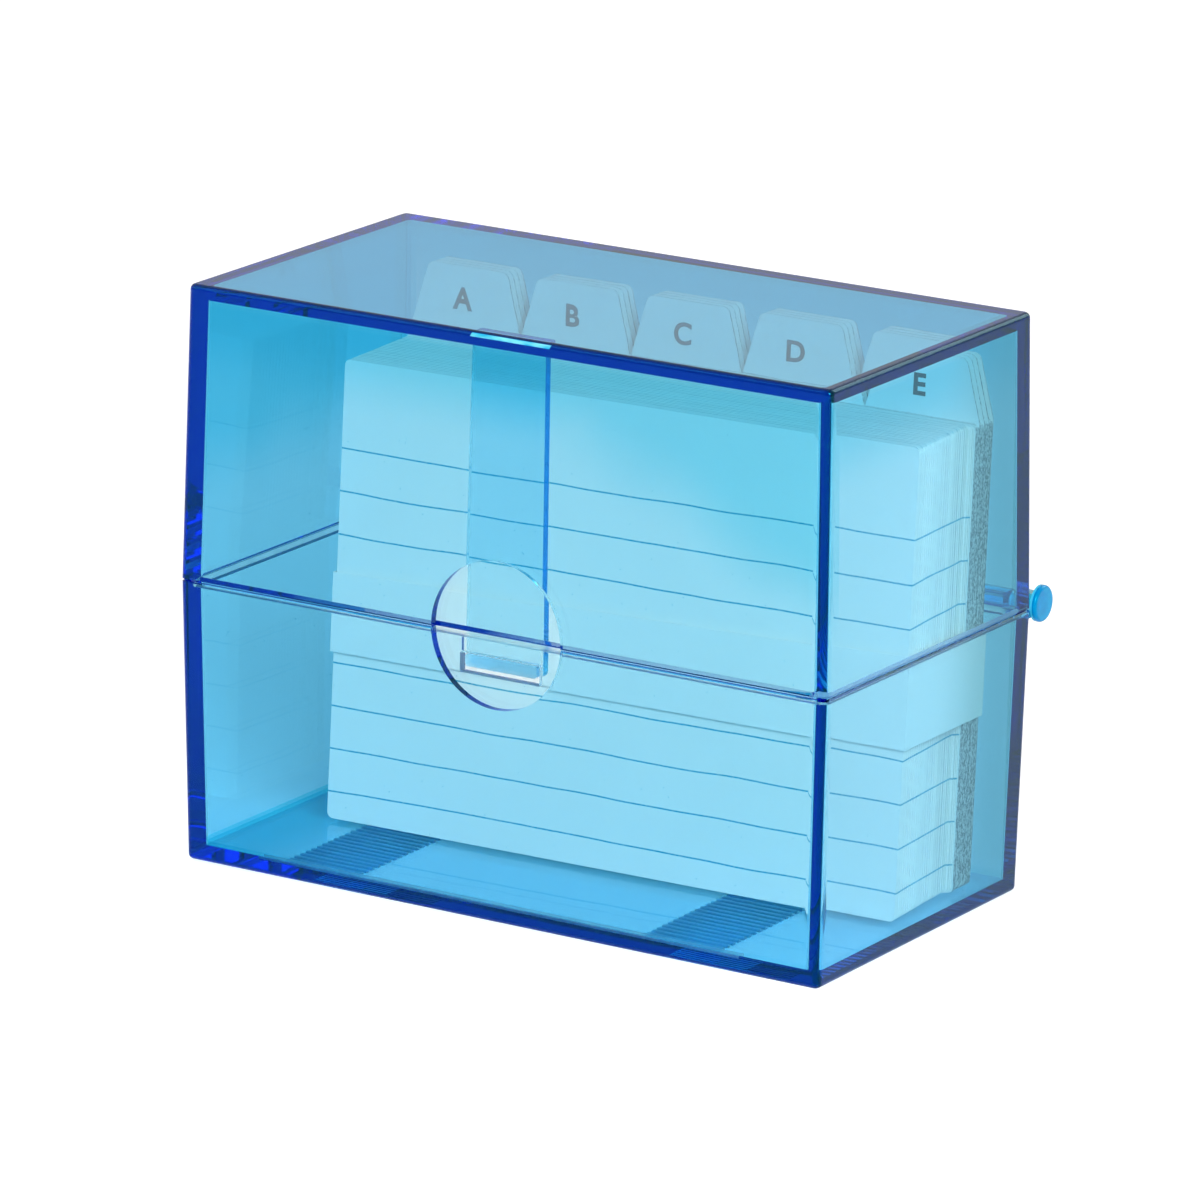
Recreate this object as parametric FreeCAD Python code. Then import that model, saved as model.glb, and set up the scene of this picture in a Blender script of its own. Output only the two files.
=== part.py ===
"""Hinged two-part index card box with a pack of ruled cards and lettered dividers.

Millimetres. +Z is up, +X is the right-hand side and the front faces -Y. The origin is the
centre of the underside, on the surface that the box stands on.
"""
import FreeCAD, Part
import math
import os

# ---- Box shells --------------------------------------------------------------------------
box_width = 120.0           # outside, left to right, at the parting plane
box_depth = 63.8            # outside, front to back, at the parting plane
base_height = 46.7          # underside to parting plane
lid_height = 48.5           # parting plane to top
base_draft = 0.77           # how far each base wall leans in at the underside
lid_draft = 0.90            # how far each lid wall leans in at the top
wall = 2.8                  # side, front and back walls of both shells
floor_thickness = 2.5       # bottom plate of the base
roof_thickness = 2.65       # top plate of the lid
outer_corner_radius = 1.2   # upright outside corners
inner_corner_radius = 0.8   # upright inside corners
end_edge_radius = 0.9       # round along the underside and top edges
rim_gap = 0.06              # air between the two rims when the lid is shut
rim_chamfer = 0.25          # bevel on the outside edge of each rim
rebate_depth = 1.0          # step sunk into the inside of the base's rim
rebate_height = 1.05
lid_inner_bevel = 0.5       # bevel on the inside edge of the lid's rim

# ---- Thumb dish in the front -------------------------------------------------------------
dish_radius = 12.0
dish_depth = 1.4
dish_centre_above_parting = 0.45

# ---- Catch: a flexible tongue on the lid with a nub that clicks into a window -------------
tongue_root_width = 13.5
tongue_tip_width = 14.5
tongue_thickness = 1.4
tongue_wall_gap = 0.64      # tongue to the inner face of the lid's front wall
tongue_root_gap = 0.1       # tongue to the lid's top plate
tongue_reach = 5.9          # tongue's end below the parting plane
tongue_tip_radius = 1.0
window_width = 14.8
window_height = 3.2
window_below_parting = 3.6  # parting plane to the window's top edge
groove_depth = 0.5          # lead-in groove from the rim to the window, inside the wall
nub_side_gap = 0.75         # nub to each side of the window
nub_top_gap = 0.1           # nub to the window's top edge
nub_height = 2.1
nub_shy = 0.25              # nub's face behind the floor of the thumb dish
nub_corner_radius = 0.6

# ---- Hinge -------------------------------------------------------------------------------
pin_radius = 1.25
pin_seat_gap = 0.02         # pin in the base knuckles
pin_running_gap = 0.06      # pin in the lid knuckle
knuckle_wall = 0.65
knuckle_back_gap = 1.3      # knuckle barrel to the back faces of the shells
axis_above_parting = 0.12
outer_knuckle_length = 5.5
lid_knuckle_length = 11.0
inner_knuckle_length = 5.5
knuckle_end_gap = 0.3
hinge_inset = 0.6           # end of the outer knuckle inboard of the box's side
pin_head_radius = 3.0
pin_head_height = 1.1
pin_head_round = 0.55       # rounding of the head's outer edge
pin_head_gap = 0.02
pin_tail = 0.4              # pin past the inner knuckle
arm_gap = 0.2               # hinge arm to the other shell's plane

# ---- Anti-slip ribs on the floor ----------------------------------------------------------
rib_pad_width = 13.9
rib_pad_centre = 33.7       # centre of each pad from the middle of the box
rib_pitch = 1.61
rib_radius = 0.45           # each rib is a half-round
rib_end_room = 0.4          # first and last rib to the front and back walls

# ---- Card pack ---------------------------------------------------------------------------
card_side_room = 10.7       # floor width less card width
card_head_room = 3.65       # tab tops to the lid's top plate
card_corner_radius = 1.0
card_thickness = 0.15
card_pitch = 0.183
cards_per_bundle = 10
bundle_count = 10
divider_extra_width = 1.3   # dividers are this much wider than the cards
divider_thickness = 0.25
divider_pitch = 0.28
divider_letters = "abcdefghiklmnoprstuw"
tabs_per_row = 5
tab_height = 10.1
tab_crown_inset = 2.85      # each tab side leans in this far from base to crown
tab_crown_radius = 1.3
front_skew = 1.9            # degrees that the front card is turned, right end back
back_skew = 0.3             # the same for the dividers
front_lean = 3.5            # degrees that the front card leans back
back_lean = 2.7             # the same for the dividers
pack_right_room = 1.93      # front right foot of the pack to the right wall
pack_back_room = 3.3        # rearmost tab to the back wall
pack_floor_gap = 0.06       # card feet over the ribs
card_drift = 1.1            # how far the cards wander left from front to back
stepped_cards = 6           # last cards, which step back out to the dividers
card_shuffle = 0.12         # most that a card stands out sideways from the rest
card_lift = 0.12            # most that a card stands up from its neighbours
shuffle_step = 2.4          # turn between one card's place in the shuffle and the next

# ---- Paper band round the pack -----------------------------------------------------------
band_low_edge = 30.85       # above the underside of the box
band_left_height = 13.05    # the band is cut a little narrower towards the left
band_right_height = 14.95
band_thickness = 0.12
band_ease = 0.3             # band to the pack, each side

# ---- Places worked out from the sizes above ----------------------------------------------
parting = base_height
lid_rim = parting + rim_gap
box_height = parting + lid_height
roof_underside = box_height - roof_thickness
hinge_y = box_depth / 2 + knuckle_back_gap + pin_radius + knuckle_wall
hinge_z = parting + axis_above_parting
knuckle_radius = pin_radius + knuckle_wall
front_inner_y = -box_depth / 2 + wall
tongue_root_z = roof_underside - tongue_root_gap
tongue_tip_z = parting - tongue_reach
lid_slope = lid_draft / (box_height - lid_rim)
tongue_root_y = front_inner_y + lid_slope * (tongue_root_z - lid_rim) + tongue_wall_gap
tongue_tip_y = front_inner_y - lid_slope * (lid_rim - tongue_tip_z) + tongue_wall_gap
window_top = parting - window_below_parting
rib_top = floor_thickness + rib_radius
floor_width = box_width - 2 * base_draft - 2 * wall
floor_depth = box_depth - 2 * base_draft - 2 * wall
card_width = floor_width - card_side_room
divider_count = len(divider_letters)
card_count = cards_per_bundle * bundle_count
foot_z = rib_top + pack_floor_gap
pack_reach_up = roof_underside - foot_z - card_head_room
card_height = pack_reach_up / math.cos(math.radians(back_lean)) - tab_height
divider_width = card_width + divider_extra_width
divider_run = divider_count * divider_pitch
card_run = card_count * card_pitch
past = 1.0                  # how far a cutting tool runs past the face it cuts
near = 0.001                # two places closer than this are the same


def box(x_low, x_high, y_low, y_high, z_low, z_high):
    """Block between two corners."""
    corner = FreeCAD.Vector(x_low, y_low, z_low)
    return Part.makeBox(x_high - x_low, y_high - y_low, z_high - z_low, corner)


def cylinder_along(axis, radius, length, start):
    """Cylinder of a given length from its start point along an axis."""
    return Part.makeCylinder(radius, length, FreeCAD.Vector(*start), FreeCAD.Vector(*axis))


def fillet_where(shape, radius, wanted):
    """Round every edge whose two ends both pass a test."""
    edges = [edge for edge in shape.Edges if all(wanted(vertex.Point) for vertex in edge.Vertexes)]
    return shape.makeFillet(radius, edges)


def at_height(z):
    """Test for points that lie at one height."""
    return lambda point: abs(point.z - z) < near


def rounded_outline(width, depth, radius, z):
    """Closed rectangle about the Z axis with rounded corners, at one height."""
    half_x, half_y = width / 2, depth / 2
    diagonal = radius * (1 - math.sqrt(0.5))
    edges = []
    for turn in range(4):
        along, across = (half_x, half_y) if turn % 2 == 0 else (half_y, half_x)
        start = FreeCAD.Vector(along, -across + radius, z)
        end = FreeCAD.Vector(along, across - radius, z)
        middle = FreeCAD.Vector(along - diagonal, across - diagonal, z)
        finish = FreeCAD.Vector(along - radius, across, z)
        side = [Part.LineSegment(start, end).toShape(), Part.Arc(end, middle, finish).toShape()]
        for edge in side:
            edge.rotate(FreeCAD.Vector(0, 0, 0), FreeCAD.Vector(0, 0, 1), 90 * turn)
        edges += side
    return Part.Wire(edges)


def tapered_block(low_inset, high_inset, radius, z_low, z_high):
    """Solid whose sides lean evenly from one inset of the parting outline to another."""
    low = rounded_outline(box_width - 2 * low_inset, box_depth - 2 * low_inset, radius, z_low)
    high = rounded_outline(box_width - 2 * high_inset, box_depth - 2 * high_inset, radius, z_high)
    return Part.makeLoft([low, high], True, True)


def shell_outside(draft, end_z, rim_z):
    """Outside of one shell, with a bevelled rim and a rounded far edge."""
    toward_end = 1 if end_z > rim_z else -1
    bevel_z = rim_z + toward_end * rim_chamfer
    bevel_inset = draft * rim_chamfer / abs(end_z - rim_z)
    insets = sorted([(end_z, draft), (bevel_z, bevel_inset)])
    body = tapered_block(insets[0][1], insets[1][1], outer_corner_radius, insets[0][0], insets[1][0])
    body = fillet_where(body, end_edge_radius, at_height(end_z))
    rim = sorted([(bevel_z, bevel_inset), (rim_z, rim_chamfer)])
    bevel = tapered_block(rim[0][1], rim[1][1], outer_corner_radius, rim[0][0], rim[1][0])
    return body.fuse(bevel)


def shell_hollow(draft, end_z, rim_z, plate):
    """Inside of one shell: one wall in from the outside, up to the plate at its far end."""
    toward_end = 1 if end_z > rim_z else -1
    slope = draft / abs(end_z - rim_z)
    plate_z = end_z - toward_end * plate
    open_z = rim_z - toward_end * past
    spans = sorted([(plate_z, wall + slope * abs(plate_z - rim_z)), (open_z, wall - slope * past)])
    return tapered_block(spans[0][1], spans[1][1], inner_corner_radius, spans[0][0], spans[1][0])


# ---- Shells ------------------------------------------------------------------------------
def base_shell():
    """Open tray: drafted walls, a flat floor and a step inside the rim."""
    hollow = shell_hollow(base_draft, 0.0, parting, floor_thickness)
    step_inset = wall - rebate_depth
    step = tapered_block(step_inset, step_inset, inner_corner_radius,
                         parting - rebate_height, parting + past)
    return shell_outside(base_draft, 0.0, parting).cut(hollow.fuse(step))


def lid_shell():
    """Deep cover: drafted walls, a flat top plate and a bevel inside the rim."""
    hollow = shell_hollow(lid_draft, box_height, lid_rim, roof_thickness)
    low_inset = wall - lid_inner_bevel - past
    bevel = tapered_block(low_inset, wall + lid_slope * lid_inner_bevel, inner_corner_radius,
                          lid_rim - past, lid_rim + lid_inner_bevel)
    return shell_outside(lid_draft, box_height, lid_rim).cut(hollow).cut(bevel)


def thumb_dish():
    """Round tool that sinks the shared thumb dish into both front walls."""
    start = (0, -box_depth / 2 - past, parting + dish_centre_above_parting)
    return cylinder_along((0, 1, 0), dish_radius, dish_depth + past, start)


def catch_window():
    """Tool for the window through the base's front wall and the groove that leads to it."""
    half = window_width / 2
    window = box(-half, half, -box_depth / 2 - past, front_inner_y + past,
                 window_top - window_height, window_top)
    groove = box(-half, half, front_inner_y - groove_depth, front_inner_y + past,
                 window_top, parting + past)
    return window.fuse(groove)


def rib_pads():
    """Two pads of low half-round ribs across the floor, under and in front of the cards."""
    usable = floor_depth - 2 * rib_end_room - 2 * rib_radius
    gaps = int(usable / rib_pitch)
    first = -gaps * rib_pitch / 2
    ribs = []
    for side in (-1, 1):
        start = side * rib_pad_centre - rib_pad_width / 2
        for index in range(gaps + 1):
            place = (start, first + index * rib_pitch, floor_thickness)
            ribs.append(cylinder_along((1, 0, 0), rib_radius, rib_pad_width, place))
    return ribs


# ---- Hinge -------------------------------------------------------------------------------
def knuckle_spans():
    """Lengthways span of each knuckle on the right-hand hinge, outermost first."""
    outer_end = box_width / 2 - hinge_inset
    outer_start = outer_end - outer_knuckle_length
    lid_end = outer_start - knuckle_end_gap
    lid_start = lid_end - lid_knuckle_length
    inner_end = lid_start - knuckle_end_gap
    inner_start = inner_end - inner_knuckle_length
    return (outer_start, outer_end), (lid_start, lid_end), (inner_start, inner_end)


def knuckle(span, arm_low, arm_high, wall_lean, bore_radius):
    """One barrel with the arm that joins it to the back wall of its shell."""
    start, end = span
    length = end - start
    barrel = cylinder_along((1, 0, 0), knuckle_radius, length, (start, hinge_y, hinge_z))
    root_y = box_depth / 2 - wall_lean - wall / 2
    arm = box(start, end, root_y, hinge_y, arm_low, arm_high)
    bore = cylinder_along((1, 0, 0), bore_radius, length + 2 * past, (start - past, hinge_y, hinge_z))
    return barrel.fuse(arm).cut(bore)


def base_knuckles():
    """Outer and inner knuckles of the right-hand hinge, carried by the base."""
    outer, _, inner = knuckle_spans()
    low, high = hinge_z - knuckle_radius, parting - arm_gap
    return [knuckle(span, low, high, base_draft, pin_radius + pin_seat_gap) for span in (outer, inner)]


def lid_knuckle():
    """Middle knuckle of the right-hand hinge, carried by the lid."""
    _, middle, _ = knuckle_spans()
    low, high = lid_rim + arm_gap, hinge_z + knuckle_radius
    return knuckle(middle, low, high, lid_draft, pin_radius + pin_running_gap)


def hinge_pin():
    """Right-hand hinge pin with a button head against the outer knuckle."""
    (_, outer_end), _, (inner_start, _) = knuckle_spans()
    tail = inner_start - pin_tail
    head_start = outer_end + pin_head_gap
    head_end = head_start + pin_head_height
    shaft = cylinder_along((1, 0, 0), pin_radius, head_start - tail, (tail, hinge_y, hinge_z))
    head = cylinder_along((1, 0, 0), pin_head_radius, pin_head_height, (head_start, hinge_y, hinge_z))
    head = fillet_where(head, pin_head_round, lambda point: abs(point.x - head_end) < near)
    return shaft.fuse(head)


def mirrored(shape):
    """The same shape on the left-hand side."""
    return shape.mirror(FreeCAD.Vector(0, 0, 0), FreeCAD.Vector(1, 0, 0))


def both_sides(shapes):
    """Right-hand shapes with their left-hand copies."""
    return shapes + [mirrored(shape) for shape in shapes]


# ---- Catch -------------------------------------------------------------------------------
def polygon_face(points):
    """Flat face through corners given as triples."""
    corners = [FreeCAD.Vector(*point) for point in points]
    return Part.Face(Part.makePolygon(corners + [corners[0]]))


def tongue_blade():
    """Tongue alone: parallel to the lid's front wall and a little wider at its tip."""
    root, tip = tongue_root_width / 2, tongue_tip_width / 2
    face = polygon_face([(-root, tongue_root_y, tongue_root_z), (root, tongue_root_y, tongue_root_z),
                         (tip, tongue_tip_y, tongue_tip_z), (-tip, tongue_tip_y, tongue_tip_z)])
    blade = face.extrude(FreeCAD.Vector(0, tongue_thickness, 0))
    tip_corners = [edge for edge in blade.Edges
                   if all(at_height(tongue_tip_z)(vertex.Point) for vertex in edge.Vertexes)
                   and edge.BoundBox.XLength < tongue_thickness]
    return blade.makeFillet(tongue_tip_radius, tip_corners)


def catch_nub():
    """Rounded block on the tongue that fills the window up to the floor of the dish."""
    half = window_width / 2 - nub_side_gap
    face_y = -box_depth / 2 + dish_depth + nub_shy
    root_y = tongue_tip_y + tongue_thickness / 2
    top = window_top - nub_top_gap
    nub = box(-half, half, face_y, root_y, top - nub_height, top)
    corner_edges = [edge for edge in nub.Edges if abs(edge.BoundBox.YLength - (root_y - face_y)) < near]
    return nub.makeFillet(nub_corner_radius, corner_edges)


def catch_tongue():
    """Flat spring tongue that hangs from the top plate, with the nub near its end."""
    return tongue_blade().fuse(catch_nub()).removeSplitter()


# ---- Card pack ---------------------------------------------------------------------------
def between(front, back, share):
    """Value that share of the way from the front card to the dividers."""
    return front + (back - front) * share


def pack_corner():
    """Front right foot of the pack, set from the right and back walls."""
    x = floor_width / 2 - pack_right_room
    crown_back = math.sin(math.radians(back_lean)) * (card_height + tab_height)
    back_wall = box_depth / 2 - lid_draft - wall
    y = back_wall - pack_back_room - crown_back - card_run - divider_run
    return FreeCAD.Vector(x, y, foot_z)


def place_in_pack(shape, share, depth):
    """Stand a sheet, drawn upright with its front right foot at the origin, in the fanned pack."""
    origin = FreeCAD.Vector(0, 0, 0)
    shape.rotate(origin, FreeCAD.Vector(1, 0, 0), -between(front_lean, back_lean, share))
    shape.rotate(origin, FreeCAD.Vector(0, 0, 1), between(front_skew, back_skew, share))
    shape.translate(pack_corner() + FreeCAD.Vector(0, depth, 0))
    return shape


def sheet(corners, thickness):
    """Upright flat sheet from its outline, given as sideways and upward places."""
    return polygon_face([(x, 0, z) for x, z in corners]).extrude(FreeCAD.Vector(0, thickness, 0))


def round_corners(blank, thickness, radius, wanted):
    """Round the corners of a sheet that pass a test on their place."""
    corners = [edge for edge in blank.Edges
               if abs(edge.BoundBox.YLength - thickness) < near and wanted(edge.Vertexes[0].Point)]
    return blank.makeFillet(radius, corners)


def sideways_place(index):
    """How far a card stands to the right of the front card's foot."""
    share = index / card_count
    from_last = card_count - index
    drift = card_drift * min(share, from_last / stepped_cards)
    sway = math.sin(index * shuffle_step) * math.sin(index * shuffle_step / math.pi)
    return card_shuffle * sway - drift


def record_card(index):
    """One plain card with rounded corners, shuffled a little against its neighbours."""
    left, right = sideways_place(index) - card_width, sideways_place(index)
    foot = card_lift * (1 + math.cos(index * shuffle_step)) / 2
    head = foot + card_height
    card = sheet([(left, foot), (right, foot), (right, head), (left, head)], card_thickness)
    card = round_corners(card, card_thickness, card_corner_radius, lambda point: True)
    return place_in_pack(card, index / card_count, index * card_pitch)


def card_bundle(number):
    """One bundle of separate cards."""
    first = number * cards_per_bundle
    return Part.makeCompound([record_card(first + place) for place in range(cards_per_bundle)])


def tab_corners(place):
    """Divider outline with one index tab, at its place along the top edge."""
    tab_pitch = divider_width / tabs_per_row
    left = place * tab_pitch - divider_width
    right = left + tab_pitch
    crown = card_height + tab_height
    corners = [(-divider_width, 0), (0, 0)]
    if place < tabs_per_row - 1:
        corners.append((0, card_height))
    corners += [(right, card_height), (right - tab_crown_inset, crown),
                (left + tab_crown_inset, crown), (left, card_height)]
    if place > 0:
        corners.append((-divider_width, card_height))
    return corners


def at_divider_side(point):
    """Test for points on either upright side of a divider."""
    return abs(point.x) < near or abs(point.x + divider_width) < near


def divider(index):
    """One divider: a wider card with a rounded tab in its place along the row."""
    blank = sheet(tab_corners(index % tabs_per_row), divider_thickness)
    crown = card_height + tab_height
    blank = round_corners(blank, divider_thickness, tab_crown_radius, at_height(crown))
    blank = round_corners(blank, divider_thickness, card_corner_radius, at_divider_side)
    return place_in_pack(blank, 1.0, card_run + index * divider_pitch)


def band_loop(left_z, right_z, ease):
    """Closed loop round the pack, in one plane that rises evenly from left to right."""
    last_depth = card_run + divider_run - divider_pitch
    left, back = -divider_width - ease, divider_thickness + ease
    places = [(ease, -ease, 0.0, 0.0), (-card_width - ease, -ease, 0.0, 0.0),
              (left, 0.0, 1.0, card_run), (left, back, 1.0, last_depth), (ease, back, 1.0, last_depth)]
    corners = []
    for x, y, share, depth in places:
        up = between(right_z, left_z, -x / divider_width) - foot_z
        corner = place_in_pack(Part.Vertex(x, y, up), share, depth).Point
        corner.z = between(right_z, left_z, (pack_corner().x - corner.x) / divider_width)
        corners.append(corner)
    return Part.makePolygon(corners + [corners[0]])


def band_block(ease, extra):
    """Everything inside one loop of the band, from its lower to its upper edge and a bit past."""
    low, high = band_low_edge - extra, band_low_edge + extra
    bottom = band_loop(low, low, ease)
    top = band_loop(high + band_left_height, high + band_right_height, ease)
    return Part.makeLoft([bottom, top], True, True)


def paper_band():
    """Closed paper loop round the whole pack."""
    return band_block(band_ease + band_thickness, 0.0).cut(band_block(band_ease, past))


# ---- Whole pieces ------------------------------------------------------------------------
def base_tray():
    """Base shell with its dish, window, ribs and hinge knuckles."""
    tray = base_shell().cut(thumb_dish()).cut(catch_window())
    return tray.multiFuse(rib_pads() + both_sides(base_knuckles())).removeSplitter()


def lid_cover():
    """Lid shell with its share of the dish and its hinge knuckles."""
    cover = lid_shell().cut(thumb_dish())
    return cover.multiFuse(both_sides([lid_knuckle()])).removeSplitter()


def write(name, shape):
    """Save one piece under its own name and report what it holds."""
    shape.exportStep("parts/" + name + ".step")
    print(name, len(shape.Solids), "solid(s)", round(shape.Volume, 1), "mm3", shape.isValid())


def main():
    os.makedirs("parts", exist_ok=True)
    write("base_tray", base_tray())
    write("lid_cover", lid_cover())
    write("catch_tongue", catch_tongue())
    write("hinge_pin_right", hinge_pin())
    write("hinge_pin_left", mirrored(hinge_pin()))
    for number in range(bundle_count):
        write("record_cards_" + str(number + 1), card_bundle(number))
    for index, letter in enumerate(divider_letters):
        write("divider_" + letter, divider(index))
    write("paper_band", paper_band())


main()
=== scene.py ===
"""Looks of the index card box: clear blue moulded shells, ruled paper cards, lettered dividers."""
import math

import bmesh
import bpy
from mathutils import Matrix, Vector


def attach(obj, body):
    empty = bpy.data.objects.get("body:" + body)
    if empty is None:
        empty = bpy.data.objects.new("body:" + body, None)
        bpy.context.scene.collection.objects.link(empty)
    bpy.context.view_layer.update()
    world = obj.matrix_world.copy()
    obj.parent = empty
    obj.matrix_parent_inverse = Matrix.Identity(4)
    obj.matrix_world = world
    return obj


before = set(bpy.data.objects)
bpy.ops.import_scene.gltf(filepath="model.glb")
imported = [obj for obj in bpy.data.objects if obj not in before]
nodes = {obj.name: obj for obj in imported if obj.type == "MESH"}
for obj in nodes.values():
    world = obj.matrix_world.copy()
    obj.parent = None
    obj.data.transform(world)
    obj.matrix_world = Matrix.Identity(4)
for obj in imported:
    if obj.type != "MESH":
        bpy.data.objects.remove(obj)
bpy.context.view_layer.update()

MM = 0.001

# ---- How the pack stands (the same fan as its solids) ------------------------------------
PACK_CORNER = Vector((54.5, -3.05, 3.01)) * MM
CARD_HEIGHT = 75.885 * MM
CARD_RUN = 18.3 * MM
FRONT_SKEW, BACK_SKEW = math.radians(1.9), math.radians(0.3)
FRONT_LEAN, BACK_LEAN = math.radians(3.5), math.radians(2.7)
DIVIDER_WIDTH = 103.46 * MM
DIVIDER_PITCH = 0.28 * MM
DIVIDER_LETTERS = "abcdefghiklmnoprstuw"
TABS_PER_ROW = 5


# ---- Shader graphs -----------------------------------------------------------------------
class Graph:
    """Short calls for adding and linking the shader nodes of one material or world."""

    def __init__(self, tree):
        self.tree = tree
        self.shader = tree.nodes.get("Principled BSDF")

    def add(self, kind, **settings):
        node = self.tree.nodes.new("ShaderNode" + kind)
        for name, value in settings.items():
            setattr(node, name, value)
        return node

    def link(self, source, target):
        self.tree.links.new(source, target)

    def set(self, name, value):
        """Set a constant on the surface shader's own socket."""
        self.shader.inputs[name].default_value = value

    def drive(self, name, source):
        """Feed one of the surface shader's sockets from a node."""
        self.link(source, self.shader.inputs[name])

    def math(self, operation, first, second=0.0, third=None):
        node = self.add("Math", operation=operation)
        for socket, value in zip(node.inputs, (first, second, third)):
            if value is None:
                continue
            if isinstance(value, (int, float)):
                socket.default_value = value
            else:
                self.link(value, socket)
        return node.outputs[0]

    def noise(self, vector, scale, detail=2.0, roughness=0.5):
        node = self.add("TexNoise")
        node.inputs["Scale"].default_value = scale
        node.inputs["Detail"].default_value = detail
        node.inputs["Roughness"].default_value = roughness
        self.link(vector, node.inputs["Vector"])
        return node.outputs["Fac"]

    def range(self, value, low, high, to_low, to_high):
        """A smooth step from one number at low to another at high."""
        node = self.add("MapRange", interpolation_type="SMOOTHSTEP")
        for name, number in (("From Min", low), ("From Max", high),
                             ("To Min", to_low), ("To Max", to_high)):
            node.inputs[name].default_value = number
        self.link(value, node.inputs["Value"])
        return node.outputs["Result"]

    def blend(self, factor, first, second):
        node = self.add("Mix", data_type="RGBA")
        self.link(factor, node.inputs["Factor"])
        for socket, value in ((node.inputs["A"], first), (node.inputs["B"], second)):
            if isinstance(value, tuple):
                socket.default_value = (*value, 1.0)
            else:
                self.link(value, socket)
        return node.outputs["Result"]

    def object_place(self):
        return self.add("TexCoord").outputs["Object"]

    def separate(self, vector):
        split = self.add("SeparateXYZ")
        self.link(vector, split.inputs["Vector"])
        return split.outputs

    def stretched(self, vector, scale):
        """The same coordinates stretched by a factor along each axis."""
        node = self.add("VectorMath", operation="MULTIPLY")
        node.inputs[1].default_value = scale
        self.link(vector, node.inputs[0])
        return node.outputs["Vector"]

    def shade(self, colour, tone):
        """One colour made lighter or darker from place to place."""
        node = self.add("VectorMath", operation="SCALE")
        node.inputs[0].default_value = colour
        self.link(tone, node.inputs["Scale"])
        return node.outputs["Vector"]

    def bump(self, height, strength, distance):
        node = self.add("Bump")
        node.inputs["Strength"].default_value = strength
        node.inputs["Distance"].default_value = distance
        self.link(height, node.inputs["Height"])
        return node.outputs["Normal"]


def new_material(name):
    material = bpy.data.materials.new(name)
    material.use_nodes = True
    return material, Graph(material.node_tree)


# In the constants below, a grain is a noise's detail and roughness, a bump is its strength
# and depth, and four numbers are a range: low, high, the value at low and the value at high.

# ---- Clear blue plastic ------------------------------------------------------------------
PLASTIC_IOR = 1.59
PLASTIC_GLOSS_TINT = (0.03, 0.8, 1.0, 1.0)  # keeps reflections in the edges blue
ABSORPTION_COLOUR = (0.2, 0.79, 0.97, 1.0)
ABSORPTION_DENSITY = 400.0
RIPPLE_SCALE, RIPPLE_GRAIN, RIPPLE_BUMP = 55.0, (1.0, 0.4), (0.05, 0.6 * MM)

SPECK_SCALE = 420.0
SPECK_CORE, SPECK_RIM = 0.03, 0.055
SPECK_TINT = (0.3, 0.55, 0.65)

# Painted shade and shadow: the walls' colour is deeper teal where shade and shadow show
# through and in them, and greyer at the rear right. A fade is the two places between which
# a tint comes or goes, and a share is how strong the tint is past the second.
UNTINTED = (1.0, 1.0, 1.0)
PAINTED_SHADE_TEAL = (0.42, 0.86, 0.93)
# Painted shadow on the floor plate, deepest at the left.
FLOOR_SHADOW_TEAL = (0.15, 0.76, 0.84)
# Greyer towards the rear of the right wall.
REAR_RIGHT_GREY = (0.58, 0.71, 0.69)
SHADE_WARP = 6 * MM
WARP_SCALE, WARP_DETAIL = 45.0, 1.5
HIGH_FADE, HIGH_SHARE = (77 * MM, 91 * MM), 0.9
ROOF_FADE, ROOF_SHARE = (92.2 * MM, 92.3 * MM), 0.66
LEFT_WALL_X, LEFT_FADE = -56 * MM, (55 * MM, 73 * MM)
FRONT_WALL_Y, FRONT_FADE, FRONT_SHARE = -28.3 * MM, (81.5 * MM, 99.0 * MM), 0.75
FRONT_FADE_SLOPE = 0.494
FLOOR_TOP_Z, FLOOR_FADE, FLOOR_SHARE = 3.2 * MM, (-54 * MM, -34 * MM), 0.26
RIGHT_WALL_X, REAR_FADE = 56 * MM, (2 * MM, 24 * MM)

# Places that are rough instead of polished.
REBATE_LOW, REBATE_HIGH = 45.65 * MM, 46.7 * MM
REBATE_LOW_BLUR, REBATE_HIGH_BLUR = 0.06 * MM, 0.02 * MM
INSIDE_X, INSIDE_Y = 59.5 * MM, 31.4 * MM
REBATE_FROST = 0.4
STREAK_STRETCH, STREAK_SCALE = (1.0, 1.0, 0.02), 700.0
STREAK_RANGE = (0.3, 0.7, 0.7, 1.0)
KNUCKLE_FADE, KNUCKLE_FROST = (32.6 * MM, 33.4 * MM), 0.12
WINDOW_BLOCK = ((0.0, -29.8 * MM, 41.5 * MM), (7.6 * MM, 0.65 * MM, 1.8 * MM))
RIGHT_BEVEL_BLOCK = ((57.42 * MM, 0.0, 47.0 * MM), (0.4 * MM, 40 * MM, 0.28 * MM))
LEFT_BEVEL_BLOCK = ((-57.42 * MM, 0.0, 47.0 * MM), (0.4 * MM, 40 * MM, 0.28 * MM))
RIB_BLOCK = ((0.0, 0.0, 2.79 * MM), (45 * MM, 40 * MM, 0.25 * MM))
FROSTED_BLOCKS = [  # (centre, half size), roughness
    (WINDOW_BLOCK, 0.85),
    (RIGHT_BEVEL_BLOCK, 0.5),
    (LEFT_BEVEL_BLOCK, 0.5),
    (RIB_BLOCK, 0.8),
]


def specks(graph, place):
    """Scattered dots of dust, from 0 to 1."""
    cells = graph.add("TexVoronoi")
    cells.inputs["Scale"].default_value = SPECK_SCALE
    graph.link(place, cells.inputs["Vector"])
    return graph.range(cells.outputs["Distance"], SPECK_CORE, SPECK_RIM, 1.0, 0.0)


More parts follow.
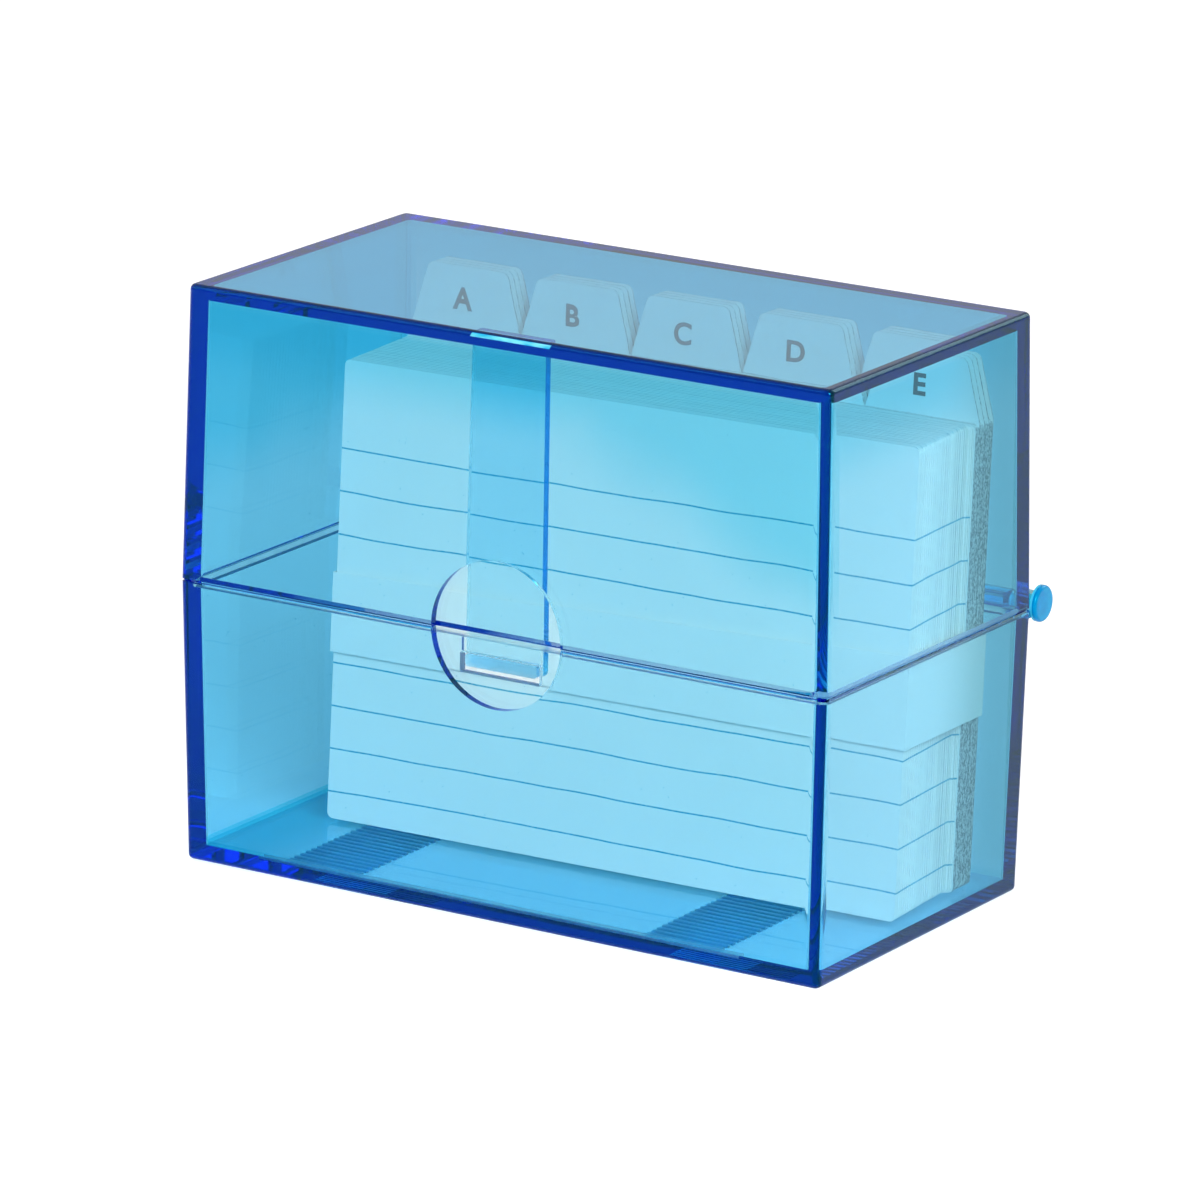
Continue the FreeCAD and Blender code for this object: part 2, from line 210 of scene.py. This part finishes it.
def painted_shade_and_dust(graph, place):
    """White, with painted shade in deeper teal high in the lid, on the left wall, at the front's
    upper right and on the floor, greyer at the rear right, and dust specks.
    """
    x, y, z = graph.separate(place)
    wander = graph.noise(place, WARP_SCALE, WARP_DETAIL)
    warp = graph.math("MULTIPLY_ADD", wander, 2 * SHADE_WARP, -SHADE_WARP)
    # Painted shade: deeper teal high in the lid, less of it over the roof.
    high = graph.range(z, *HIGH_FADE, 0.0, HIGH_SHARE)
    high = graph.math("MULTIPLY", high, graph.range(z, *ROOF_FADE, 1.0, ROOF_SHARE))
    # Painted shade: deeper teal up the left wall.
    left = graph.math("MULTIPLY", graph.range(graph.math("ADD", z, warp), *LEFT_FADE, 0.0, 1.0),
                      graph.math("LESS_THAN", x, LEFT_WALL_X))
    # Painted shadow: a diagonal edge across the front wall, deeper teal above and to the right of
    # it.
    across = graph.math("ADD", graph.math("MULTIPLY_ADD", x, FRONT_FADE_SLOPE, z), warp)
    front = graph.math("MULTIPLY", graph.range(across, *FRONT_FADE, 0.0, FRONT_SHARE),
                       graph.math("LESS_THAN", y, FRONT_WALL_Y))
    # Painted shadow: the floor plate deeper teal, most at the left.
    floor = graph.math("MULTIPLY", graph.range(x, *FLOOR_FADE, 1.0, FLOOR_SHARE),
                       graph.math("LESS_THAN", z, FLOOR_TOP_Z))
    deep = graph.math("MAXIMUM", high, graph.math("MAXIMUM", left, front))
    teal = graph.blend(deep, UNTINTED, PAINTED_SHADE_TEAL)
    teal = graph.blend(floor, teal, FLOOR_SHADOW_TEAL)
    # Greyer towards the rear of the right wall.
    rear_right = graph.math("MULTIPLY", graph.range(y, *REAR_FADE, 0.0, 1.0),
                            graph.math("GREATER_THAN", x, RIGHT_WALL_X))
    tint = graph.blend(rear_right, teal, REAR_RIGHT_GREY)
    return graph.blend(specks(graph, place), tint, SPECK_TINT)


def frosting(graph, place, x, y, z):
    """Roughness: streaks in the rims' rebate, a trace on the knuckles, and the frosted blocks."""
    step = graph.math("MULTIPLY",
                      graph.range(z, REBATE_LOW - REBATE_LOW_BLUR, REBATE_LOW, 0.0, 1.0),
                      graph.range(z, REBATE_HIGH - REBATE_HIGH_BLUR, REBATE_HIGH, 1.0, 0.0))
    inset_x = graph.math("LESS_THAN", graph.math("ABSOLUTE", x), INSIDE_X)
    inset_y = graph.math("LESS_THAN", graph.math("ABSOLUTE", y), INSIDE_Y)
    step = graph.math("MULTIPLY", step, graph.math("MULTIPLY", inset_x, inset_y))
    streak = graph.noise(graph.stretched(place, STREAK_STRETCH), STREAK_SCALE)
    streak = graph.range(streak, *STREAK_RANGE)
    frost = graph.math("MULTIPLY", graph.math("MULTIPLY", step, streak), REBATE_FROST)
    frost = graph.math("MAXIMUM", frost, graph.range(y, *KNUCKLE_FADE, 0.0, KNUCKLE_FROST))
    for (centre, half), rough in FROSTED_BLOCKS:
        block = rough
        for value, middle, reach in zip((x, y, z), centre, half):
            block = graph.math("MULTIPLY", graph.math("COMPARE", value, middle, reach), block)
        frost = graph.math("MAXIMUM", frost, block)
    return frost


def clear_blue(name):
    """Transparent blue polystyrene, tinted by how far light runs inside it, with painted shade and
    shadow in its colour.
    """
    material, graph = new_material(name)
    graph.set("Transmission Weight", 1.0)
    graph.set("IOR", PLASTIC_IOR)
    graph.set("Specular Tint", PLASTIC_GLOSS_TINT)
    place = graph.object_place()
    x, y, z = graph.separate(place)
    # Base colour: painted shade and shadow, with dust specks.
    graph.drive("Base Color", painted_shade_and_dust(graph, place))
    ripple = graph.noise(place, RIPPLE_SCALE, *RIPPLE_GRAIN)
    graph.drive("Normal", graph.bump(ripple, *RIPPLE_BUMP))
    graph.drive("Roughness", frosting(graph, place, x, y, z))
    absorb = graph.add("VolumeAbsorption")
    absorb.inputs["Color"].default_value = ABSORPTION_COLOUR
    absorb.inputs["Density"].default_value = ABSORPTION_DENSITY
    output = graph.tree.nodes["Material Output"]
    graph.link(absorb.outputs["Volume"], output.inputs["Volume"])
    return material


# ---- Milky blue plastic of the hinge pins, with painted light on the shafts --------------
PIN_SHAFT_END = 59.8 * MM
PIN_SWIRL_SCALE = 420.0
PIN_BUMP = (0.05, 0.2 * MM)
PIN_SHAFT_BLUE_AND_PAINTED_LIGHT = (0.03, 0.62, 0.92), (0.15, 0.85, 1.0)
PIN_HEAD_COLOURS = (0.0, 0.22, 0.56), (0.0, 0.36, 0.7)


def pin_plastic(name):
    """The same blue plastic, moulded milky, with the shaft painted much lighter than the head as
    painted light for the bright barrel round it.
    """
    material, graph = new_material(name)
    place = graph.object_place()
    swirl = graph.noise(place, PIN_SWIRL_SCALE)
    head = graph.math("GREATER_THAN", graph.math("ABSOLUTE", graph.separate(place)[0]),
                      PIN_SHAFT_END)
    # Painted light: the shaft's light cyan stands for the bright light seen in the knuckle barrel.
    shaft = graph.blend(swirl, *PIN_SHAFT_BLUE_AND_PAINTED_LIGHT)
    graph.drive("Base Color", graph.blend(head, shaft, graph.blend(swirl, *PIN_HEAD_COLOURS)))
    graph.set("Transmission Weight", 0.4)
    graph.set("Specular Tint", PLASTIC_GLOSS_TINT)
    graph.set("Roughness", 0.12)
    graph.set("IOR", PLASTIC_IOR)
    graph.drive("Normal", graph.bump(swirl, *PIN_BUMP))
    return material


# ---- Paper and board ---------------------------------------------------------------------
RULE_SPACING = 7.06 * MM
FIRST_RULE_BELOW_TOP = 14.6 * MM
RULE_COUNT = 9
RULE_HALF_WIDTH = 0.17 * MM
RULE_SOLID_SHARE = 0.55
RULE_BLUE = (0.02, 0.33, 0.46)
RULE_PATCHES = (0.25, 0.6, 0.65, 1.0)
FEATHER_SCALE, FEATHER_WIDTH = 900.0, 0.06 * MM
WAVER_SCALE, WAVER_DETAIL, WAVER_WIDTH = 52.0, 1.0, 1.0 * MM
WAVER_OFFSET = -(FEATHER_WIDTH + WAVER_WIDTH) / 2

PAPER_WHITE = (0.93, 0.87, 0.81)  # warm, to offset the blue that the plastic adds
PAPER_TONE, PAPER_FIBRE_TONE, PAPER_CLOUD_TONE = 0.93, 0.05, 0.05
PAPER_FIBRE_SCALE, PAPER_CLOUD_SCALE = 2600.0, 60.0
PAPER_BUMP = (0.25, 0.03 * MM)
FIBRE_GRAIN = (3.0, 0.6)
CUT_EDGE_FADE = (0.5, 0.9)
STREAK_LENGTHWAYS = 6.0
TOP_STREAKS, TOP_SHADOW = 24.0, (0.34, 0.64, 0.55, 0.18)
SIDE_STREAKS, SIDE_LINES = 62.0, (0.34, 0.64, 1.0, 0.0)
SIDE_SHADOW = (0.25, 1.0, 0.07, 0.42)  # deeper towards the back of the pack
# Painted shade: a teal cast on the cards' top edges.
TOP_SHADE_COLOUR, TOP_SHADE_SHARE = (0.26, 0.46, 0.52), 0.7

BOARD_GREY = (0.83, 0.83, 0.81)
BOARD_TONE, BOARD_FIBRE_TONE, BOARD_FIBRE_SCALE = 0.95, 0.06, 2400.0
BOARD_BUMP = (0.2, 0.03 * MM)
FLECK_STRETCH, FLECK_SCALE, FLECK_GRAIN = (1.0, 1.3, 0.8), 2300.0, (3.0, 0.75)
FLECK_SHADOW = (0.42, 0.58, 0.75, 0.12)
BOARD_STREAKS, BOARD_LINES = 66.0, (0.36, 0.62, 0.3, 0.0)
BOARD_TOP_SHARE = 0.7
BOARD_DARKEST = 0.85

INK_SPECK_SCALE, INK_SPECKS = 4000.0, (0.35, 0.7, 0.0, 1.0)
INK_COLOURS = (0.015, 0.02, 0.02), (0.06, 0.065, 0.07)


def pack_place(graph):
    """Height up a card, place along it, and depth in the fanned pack as a share of its cards."""
    x, y, z = graph.separate(graph.object_place())
    up = graph.math("DIVIDE", graph.math("SUBTRACT", z, PACK_CORNER.z), math.cos(FRONT_LEAN))
    along = graph.math("SUBTRACT", x, PACK_CORNER.x)
    front = graph.math("MULTIPLY_ADD", up, math.sin(FRONT_LEAN), PACK_CORNER.y)
    front = graph.math("MULTIPLY_ADD", along, math.sin(FRONT_SKEW), front)
    run = graph.math("MULTIPLY_ADD", up, math.sin(BACK_LEAN) - math.sin(FRONT_LEAN), CARD_RUN)
    run = graph.math("MULTIPLY_ADD", along, math.sin(BACK_SKEW) - math.sin(FRONT_SKEW), run)
    depth = graph.math("DIVIDE", graph.math("SUBTRACT", y, front), run)
    return up, along, depth


def rule_ink(graph, up, fibre, place):
    """Where the blue rules are printed, from 0 to 1."""
    feather = graph.noise(place, FEATHER_SCALE)
    waver = graph.math("MULTIPLY_ADD", feather, FEATHER_WIDTH, WAVER_OFFSET)
    bend = graph.noise(place, WAVER_SCALE, WAVER_DETAIL)
    waver = graph.math("MULTIPLY_ADD", bend, WAVER_WIDTH, waver)
    first = CARD_HEIGHT - FIRST_RULE_BELOW_TOP + RULE_SPACING / 2
    fall = graph.math("SUBTRACT", first, graph.math("ADD", up, waver))
    step = graph.math("DIVIDE", fall, RULE_SPACING)
    off = graph.math("ABSOLUTE", graph.math("SUBTRACT", graph.math("FRACT", step), 0.5))
    half = RULE_HALF_WIDTH / RULE_SPACING
    line = graph.range(off, half * RULE_SOLID_SHARE, half, 1.0, 0.0)
    inside = graph.math("MULTIPLY", graph.math("GREATER_THAN", step, 0.0),
                        graph.math("LESS_THAN", step, float(RULE_COUNT)))
    patchy = graph.range(fibre, *RULE_PATCHES)
    return graph.math("MULTIPLY", graph.math("MULTIPLY", line, inside), patchy)


def cut_edge(graph):
    """1 on the cut edges of upright sheets that face up, and 1 on those that face sideways."""
    x, _, z = graph.separate(graph.add("NewGeometry").outputs["Normal"])
    top = graph.range(z, *CUT_EDGE_FADE, 0.0, 1.0)
    side = graph.range(graph.math("ABSOLUTE", x), *CUT_EDGE_FADE, 0.0, 1.0)
    return top, side


def sheet_streaks(graph, up, along, depth, count):
    """Lines along each sheet that change from sheet to sheet, from 0 to 1."""
    through = graph.add("CombineXYZ")
    scales = (STREAK_LENGTHWAYS, count, STREAK_LENGTHWAYS)
    for socket, value, scale in zip(through.inputs, (along, depth, up), scales):
        graph.link(graph.math("MULTIPLY", value, scale), socket)
    return graph.noise(through.outputs["Vector"], 1.0, 1.0)


def card_paper(name, ruled):
    """Uncoated white paper, with printed blue rules and, where wanted, painted shade on its cut
    edges: darker and teal on top, dark lines between the sheets at the side.
    """
    material, graph = new_material(name)
    place = graph.object_place()
    up, along, depth = pack_place(graph)
    fibre = graph.noise(place, PAPER_FIBRE_SCALE, *FIBRE_GRAIN)
    cloud = graph.noise(place, PAPER_CLOUD_SCALE)
    tone = graph.math("MULTIPLY_ADD", fibre, PAPER_FIBRE_TONE, PAPER_TONE)
    tone = graph.math("MULTIPLY_ADD", cloud, PAPER_CLOUD_TONE, tone)
    # Painted shade on the cut edges: broad streaks on those facing up, and fine lines between the
    # sheets on those facing sideways, deeper towards the back.
    if ruled:
        top, side = cut_edge(graph)
        broad = sheet_streaks(graph, up, along, depth, TOP_STREAKS)
        shadow = graph.math("MULTIPLY", top, graph.range(broad, *TOP_SHADOW))
        fine = graph.range(sheet_streaks(graph, up, along, depth, SIDE_STREAKS), *SIDE_LINES)
        dim = graph.math("MULTIPLY", fine, graph.range(depth, *SIDE_SHADOW))
        shadow = graph.math("MULTIPLY_ADD", side, dim, shadow)
        tone = graph.math("MULTIPLY", tone, graph.math("SUBTRACT", 1.0, shadow))
    colour = graph.shade(PAPER_WHITE, tone)
    if ruled:
        # Painted shade: teal on the top edges.
        top_share = graph.math("MULTIPLY", top, TOP_SHADE_SHARE)
        colour = graph.blend(top_share, colour, TOP_SHADE_COLOUR)
        colour = graph.blend(rule_ink(graph, up, fibre, place), colour, RULE_BLUE)
    graph.drive("Base Color", colour)
    graph.set("Roughness", 0.78)
    graph.set("Specular IOR Level", 0.3)
    graph.drive("Normal", graph.bump(fibre, *PAPER_BUMP))
    return material


def divider_board(name):
    """Grey-white board with flecked grey cut edges, and painted shade in lines between the sheets
    there.
    """
    material, graph = new_material(name)
    place = graph.object_place()
    fleck = graph.noise(graph.stretched(place, FLECK_STRETCH), FLECK_SCALE, *FLECK_GRAIN)
    fibre = graph.noise(place, BOARD_FIBRE_SCALE, *FIBRE_GRAIN)
    top, side = cut_edge(graph)
    # Edges facing up get less of the darkening than those facing sideways.
    cut = graph.math("MAXIMUM", graph.math("MULTIPLY", top, BOARD_TOP_SHARE), side)
    up, along, depth = pack_place(graph)
    # Painted shade: dark lines between the sheets on the cut edges.
    between = graph.range(sheet_streaks(graph, up, along, depth, BOARD_STREAKS), *BOARD_LINES)
    dark = graph.math("ADD", graph.range(fleck, *FLECK_SHADOW), between)
    dark = graph.math("MULTIPLY", cut, graph.math("MINIMUM", dark, BOARD_DARKEST))
    tone = graph.math("MULTIPLY_ADD", fibre, BOARD_FIBRE_TONE, BOARD_TONE)
    tone = graph.math("MULTIPLY", tone, graph.math("SUBTRACT", 1.0, dark))
    graph.drive("Base Color", graph.shade(BOARD_GREY, tone))
    graph.set("Roughness", 0.7)
    graph.drive("Normal", graph.bump(fibre, *BOARD_BUMP))
    return material


def printed_ink(name):
    """Dull dark grey printing ink."""
    material, graph = new_material(name)
    speck = graph.noise(graph.object_place(), INK_SPECK_SCALE)
    graph.drive("Base Color", graph.blend(graph.range(speck, *INK_SPECKS), *INK_COLOURS))
    graph.set("Roughness", 0.6)
    return material


# ---- Materials on the CAD nodes ----------------------------------------------------------
def dress(node, material):
    """Give a CAD node one material."""
    mesh = nodes[node].data
    mesh.materials.clear()
    mesh.materials.append(material)


def dress_all():
    """Dress every node. Lamp light passes the plastic untinted, as it seems to in the photo."""
    plastic = clear_blue("clear_blue_polystyrene")
    pin = pin_plastic("milky_blue_pin_and_painted_light")
    for node, material in (("base_tray", plastic), ("lid_cover", plastic),
                           ("catch_tongue", plastic), ("hinge_pin_left", pin),
                           ("hinge_pin_right", pin)):
        dress(node, material)
        nodes[node].visible_shadow = False
    ruled = card_paper("ruled_card_paper", True)
    board = divider_board("divider_board")
    for node in nodes:
        if node.startswith("record_cards"):
            dress(node, ruled)
        elif node.startswith("divider"):
            dress(node, board)
    dress("paper_band", card_paper("band_paper", False))


# ---- Letters on the tabs -----------------------------------------------------------------
LETTER_HEIGHT = 3.55 * MM
LETTER_CENTRE_UP = 80.8 * MM
LETTER_LEFT_OF_TAB_CENTRE = 0.8 * MM
LETTER_AHEAD = 0.02 * MM
FONT_CAP_HEIGHT = 0.73
LETTER_WIDENING = 0.15 * MM
UNWIDENED_LETTERS = "m"  # the font's M fills its notch when its outline is widened


def divider_matrix(index):
    """Frame of one divider: X along it, Z up it, origin at its front right foot."""
    depth = CARD_RUN + index * DIVIDER_PITCH
    return (Matrix.Translation(PACK_CORNER + Vector((0, depth, 0)))
            @ Matrix.Rotation(BACK_SKEW, 4, "Z") @ Matrix.Rotation(-BACK_LEAN, 4, "X"))


def tab_letter(index, letter, ink):
    """One flat printed capital on its tab."""
    tab_pitch = DIVIDER_WIDTH / TABS_PER_ROW
    tab_centre = (index % TABS_PER_ROW + 0.5) * tab_pitch - DIVIDER_WIDTH
    centre = tab_centre - LETTER_LEFT_OF_TAB_CENTRE
    curve = bpy.data.curves.new("index_letter_" + letter, "FONT")
    curve.body = letter.upper()
    curve.size = LETTER_HEIGHT / FONT_CAP_HEIGHT
    curve.align_x = "CENTER"
    curve.offset = 0.0 if letter in UNWIDENED_LETTERS else LETTER_WIDENING
    curve.materials.append(ink)
    piece = bpy.data.objects.new("index_letter_" + letter, curve)
    bpy.context.scene.collection.objects.link(piece)
    foot = LETTER_CENTRE_UP - LETTER_HEIGHT / 2
    stand = (Matrix.Translation((centre, -LETTER_AHEAD, foot))
             @ Matrix.Rotation(math.pi / 2, 4, "X"))
    piece.matrix_world = divider_matrix(index) @ stand
    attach(piece, "card_pack")


def letter_all():
    ink = printed_ink("index_ink")
    for index, letter in enumerate(DIVIDER_LETTERS):
        tab_letter(index, letter, ink)


# ---- Painted highlight of the step over the catch tongue's root: a bright sliver round the lid's top front edge ----
STEP_ENDS = (-5.85 * MM, 8.7 * MM)
STEP_SLANT = 0.25 * MM
STEP_EDGE_Y, STEP_EDGE_Z = -30.1 * MM, 94.3 * MM
STEP_EDGE_RADIUS = 0.9 * MM
STEP_HEIGHT = 0.03 * MM
STEP_TURN_LOW, STEP_TURN_HIGH = math.radians(4), math.radians(44)
STEP_PARTS = 10
STEP_SWIRL_STRETCH, STEP_SWIRL_SCALE = (0.3, 1.0, 1.0), 900.0
STEP_SWIRL_RANGE = (0.35, 0.65, 0.0, 1.0)
# The painted highlight's colours.
STEP_HIGHLIGHT_COLOURS = (0.02, 0.46, 0.78), (0.2, 0.78, 0.95)
STEP_BUMP = (0.1, 0.1 * MM)


def painted_step_highlight(name):
    """Painted highlight: bright cyan for the light that the step throws back."""
    material, graph = new_material(name)
    place = graph.stretched(graph.object_place(), STEP_SWIRL_STRETCH)
    swirl = graph.noise(place, STEP_SWIRL_SCALE)
    spread = graph.range(swirl, *STEP_SWIRL_RANGE)
    graph.drive("Base Color", graph.blend(spread, *STEP_HIGHLIGHT_COLOURS))
    graph.set("Specular Tint", PLASTIC_GLOSS_TINT)
    graph.set("Roughness", 0.2)
    graph.drive("Normal", graph.bump(swirl, *STEP_BUMP))
    return material


def step_highlight_mesh():
    """A closed strip bent round the edge, half sunk in it, with slanted ends."""
    points = []
    for radius in (STEP_EDGE_RADIUS - STEP_HEIGHT, STEP_EDGE_RADIUS + STEP_HEIGHT):
        for part in range(STEP_PARTS + 1):
            share = part / STEP_PARTS
            turn = STEP_TURN_LOW + share * (STEP_TURN_HIGH - STEP_TURN_LOW)
            y = STEP_EDGE_Y - radius * math.cos(turn)
            z = STEP_EDGE_Z + radius * math.sin(turn)
            points += [(end + share * STEP_SLANT, y, z) for end in STEP_ENDS]
    outer = 2 * (STEP_PARTS + 1)  # the outer layer's first point
    last = 2 * STEP_PARTS  # the first point of a layer's upper end
    faces = [(0, outer, outer + 1, 1), (last, last + 1, outer + last + 1, outer + last)]
    for low in range(0, last, 2):
        faces.append((low, low + 1, low + 3, low + 2))
        faces.append((outer + low, outer + low + 2, outer + low + 3, outer + low + 1))
        faces.append((low, low + 2, outer + low + 2, outer + low))
        faces.append((low + 1, outer + low + 1, outer + low + 3, low + 3))
    mesh = bpy.data.meshes.new("tongue_step_highlight")
    mesh.from_pydata(points, [], faces)
    shape = bmesh.new()
    shape.from_mesh(mesh)
    bmesh.ops.recalc_face_normals(shape, faces=shape.faces)
    shape.to_mesh(mesh)
    shape.free()
    return mesh


def tongue_step_highlight():
    # A painted highlight: a thin bright sliver where the step's reflection shows.
    mesh = step_highlight_mesh()
    mesh.materials.append(painted_step_highlight("painted_step_highlight"))
    piece = bpy.data.objects.new("tongue_step_highlight", mesh)
    bpy.context.scene.collection.objects.link(piece)
    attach(piece, "lid")


# ---- Studio ------------------------------------------------------------------------------
FLOOR_HALF_SIZE = 6.0
FLOOR_GREY = (0.8, 0.8, 0.8, 1.0)
FLOOR_DROP = 0.1 * MM
FLOOR_LIFT = 0.46
WHITE = (1.0, 1.0, 1.0, 1.0)
SURROUND_LIGHT = 0.52
SEEN_THROUGH_GLASS = 0.3
SEEN_IN_GLOSS = 0.3
CLEAR_BOUNCES = 96
DIFFUSE_BOUNCES = 5
LAMP_COLOUR = (1.0, 0.95, 0.9)
LAMP_SIZE = 0.8
LAMP_AIM = Vector((0, 0, 0.05))
SOFTBOXES = (  # name, place, watts
    ("key_softbox", (1.0, -0.85, 0.8), 17.5),
    ("fill_softbox", (-0.9, -0.7, 0.8), 2.0),
    ("rear_softbox", (0.5, 1.1, 0.8), 4.0),
)

CAMERA_PLACE = Vector((0.68130, -1.09167, 0.40789))
CAMERA_AZIMUTH = math.radians(31.9973)
CAMERA_ELEVATION = math.radians(15.7196)
CAMERA_ROLL = math.radians(0.8707)
FOCAL_PIXELS = 8407.7  # 0.5 % over the solved value, as the box's rounded corners need
FRAME_PIXELS = 1200
SENSOR = 36.0
CLIP_END = 50.0


def seen_share(graph):
    """How far a ray shows the white background: in full to the camera, less in glass and gloss."""
    path = graph.add("LightPath")
    seen = path.outputs["Is Camera Ray"]
    for name, share in (("Is Transmission Ray", SEEN_THROUGH_GLASS),
                        ("Is Glossy Ray", SEEN_IN_GLOSS)):
        seen = graph.math("MAXIMUM", seen, graph.math("MULTIPLY", path.outputs[name], share))
    unscattered = graph.math("LESS_THAN", path.outputs["Diffuse Depth"], 0.5)
    return graph.math("MULTIPLY", seen, unscattered)


def floor_material():
    """Pale matt table that comes up to white where it is seen away from the shadow."""
    material, graph = new_material("studio_floor")
    graph.set("Base Color", FLOOR_GREY)
    graph.set("Roughness", 0.9)
    graph.set("Specular IOR Level", 0.1)
    graph.set("Emission Color", WHITE)
    graph.drive("Emission Strength", graph.math("MULTIPLY", seen_share(graph), FLOOR_LIFT))
    return material


def add_floor():
    size = FLOOR_HALF_SIZE
    corners = [(-size, -size, -FLOOR_DROP), (size, -size, -FLOOR_DROP),
               (size, size, -FLOOR_DROP), (-size, size, -FLOOR_DROP)]
    mesh = bpy.data.meshes.new("studio_floor")
    mesh.from_pydata(corners, [], [(0, 1, 2, 3)])
    mesh.materials.append(floor_material())
    floor = bpy.data.objects.new("studio_floor", mesh)
    bpy.context.scene.collection.objects.link(floor)


def add_world():
    """White where the background is seen, and a plain level of light everywhere else."""
    world = bpy.data.worlds.new("studio_world")
    world.use_nodes = True
    graph = Graph(world.node_tree)
    strength = graph.add("Mix", data_type="FLOAT")
    graph.link(seen_share(graph), strength.inputs["Factor"])
    strength.inputs["A"].default_value = SURROUND_LIGHT
    strength.inputs["B"].default_value = 1.0
    background = graph.tree.nodes["Background"]
    background.inputs["Color"].default_value = WHITE
    graph.link(strength.outputs["Result"], background.inputs["Strength"])
    bpy.context.scene.world = world


def add_softbox(name, place, power):
    lamp = bpy.data.lights.new(name, "AREA")
    lamp.shape = "RECTANGLE"
    lamp.size = lamp.size_y = LAMP_SIZE
    lamp.energy = power
    lamp.color = LAMP_COLOUR
    piece = bpy.data.objects.new(name, lamp)
    piece.location = place
    piece.rotation_euler = (LAMP_AIM - Vector(place)).to_track_quat("-Z", "Y").to_euler()
    bpy.context.scene.collection.objects.link(piece)


def add_camera():
    """Long lens at the solved viewpoint."""
    back = Vector((math.sin(CAMERA_AZIMUTH) * math.cos(CAMERA_ELEVATION),
                   -math.cos(CAMERA_AZIMUTH) * math.cos(CAMERA_ELEVATION),
                   math.sin(CAMERA_ELEVATION)))
    level = Vector((math.cos(CAMERA_AZIMUTH), math.sin(CAMERA_AZIMUTH), 0.0))
    upright = back.cross(level)
    right = level * math.cos(CAMERA_ROLL) + upright * math.sin(CAMERA_ROLL)
    up = upright * math.cos(CAMERA_ROLL) - level * math.sin(CAMERA_ROLL)
    lens = bpy.data.cameras.new("studio_camera")
    lens.sensor_width = SENSOR
    lens.lens = FOCAL_PIXELS / FRAME_PIXELS * SENSOR
    lens.clip_end = CLIP_END
    camera = bpy.data.objects.new("studio_camera", lens)
    turn = Matrix((right, up, back)).transposed().to_4x4()
    camera.matrix_world = Matrix.Translation(CAMERA_PLACE) @ turn
    bpy.context.scene.collection.objects.link(camera)
    bpy.context.scene.camera = camera


def set_studio():
    scene = bpy.context.scene
    scene.view_settings.view_transform = "Standard"
    scene.cycles.max_bounces = CLEAR_BOUNCES
    scene.cycles.transmission_bounces = CLEAR_BOUNCES
    scene.cycles.glossy_bounces = CLEAR_BOUNCES
    scene.cycles.diffuse_bounces = DIFFUSE_BOUNCES
    add_floor()
    add_world()
    for name, place, power in SOFTBOXES:
        add_softbox(name, place, power)
    add_camera()


dress_all()
letter_all()
tongue_step_highlight()
set_studio()
